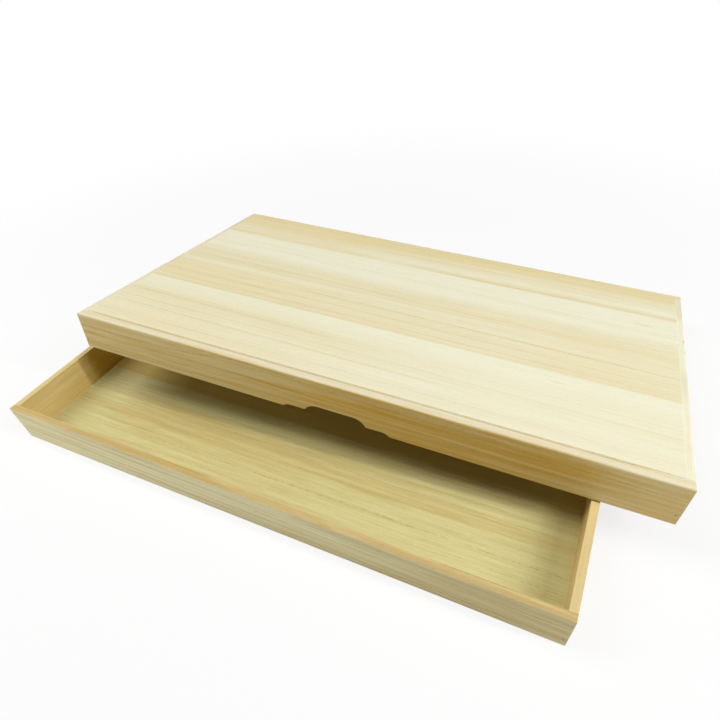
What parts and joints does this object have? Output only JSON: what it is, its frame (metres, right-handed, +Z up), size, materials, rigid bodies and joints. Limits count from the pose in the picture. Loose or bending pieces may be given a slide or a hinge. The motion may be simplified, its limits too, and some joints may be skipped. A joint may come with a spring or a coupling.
{
  "type": "obi box",
  "caption": "Shallow bare paulownia box for a folded kimono obi: an open tray with its overlapping lift-off lid laid askew on top, a stepped finger notch cut in the lid's lower edge.",
  "frame": {"origin": "middle of the tray's underside, on the surface that the box stands on", "axes": "+X along the tray's length, to the right seen from the front; +Y from the tray's front wall to its back wall; +Z up"},
  "size_m": [0.6965, 0.486, 0.1223],
  "materials": {
    "lid_front_rail": "bare, planed, unvarnished",
    "lid_back_rail": "bare, planed, unvarnished",
    "lid_left_rail": "bare, planed, unvarnished",
    "lid_right_rail": "bare, planed, unvarnished",
    "lid_front_board": "bare, planed, unvarnished",
    "lid_middle_board": "bare, planed, unvarnished",
    "lid_back_board": "bare, planed, unvarnished",
    "lid_corner_nails": "driven wooden nail",
    "tray_front_wall": "bare, planed, unvarnished",
    "tray_back_wall": "bare, planed, unvarnished",
    "tray_left_wall": "bare, planed, unvarnished",
    "tray_right_wall": "bare, planed, unvarnished",
    "floor_front_board": "bare, planed, unvarnished",
    "floor_middle_board": "bare, planed, unvarnished",
    "floor_back_board": "bare, planed, unvarnished",
    "tray_corner_nails": "driven wooden nail"
  },
  "bodies": {
    "tray": {"tray_front_wall": "tray_front_wall", "tray_back_wall": "tray_back_wall", "tray_left_wall": "tray_left_wall", "tray_right_wall": "tray_right_wall", "floor_front_board": "floor_front_board", "floor_middle_board": "floor_middle_board", "floor_back_board": "floor_back_board", "tray_corner_nails": "tray_corner_nails"},
    "lid": {"lid_front_rail": "lid_front_rail", "lid_back_rail": "lid_back_rail", "lid_left_rail": "lid_left_rail", "lid_right_rail": "lid_right_rail", "lid_front_board": "lid_front_board", "lid_middle_board": "lid_middle_board", "lid_back_board": "lid_back_board", "lid_corner_nails": "lid_corner_nails"}
  },
  "joints": [
    {"name": "lid_lift", "type": "slide", "parent": "tray", "child": "lid", "axis": [0, 0, 1], "range_m": [0, 0.15]}
  ]
}
